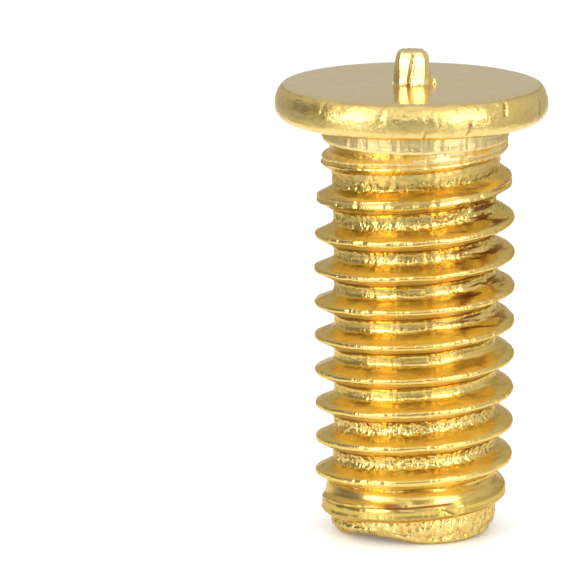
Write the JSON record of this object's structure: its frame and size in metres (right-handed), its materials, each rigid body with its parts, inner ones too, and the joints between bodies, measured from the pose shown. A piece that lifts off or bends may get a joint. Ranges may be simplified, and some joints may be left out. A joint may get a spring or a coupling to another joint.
{
  "type": "weld stud",
  "caption": "Externally threaded weld stud with a plain round flange, a short ignition tip on the weld face and a chamfered thread end.",
  "frame": {"origin": "centre of the thread end face, on the thread axis, where the standing stud touches the surface under it", "axes": "+Z along the thread axis, from the thread end to the ignition tip; -Y towards the viewer of the picture, +X to the viewer's right"},
  "size_m": [0.0055, 0.0056, 0.0099],
  "materials": {
    "brass": "bright as cold formed and thread rolled, satin on the weld face"
  },
  "bodies": {
    "root": {"weld_stud": "brass"}
  },
  "joints": []
}
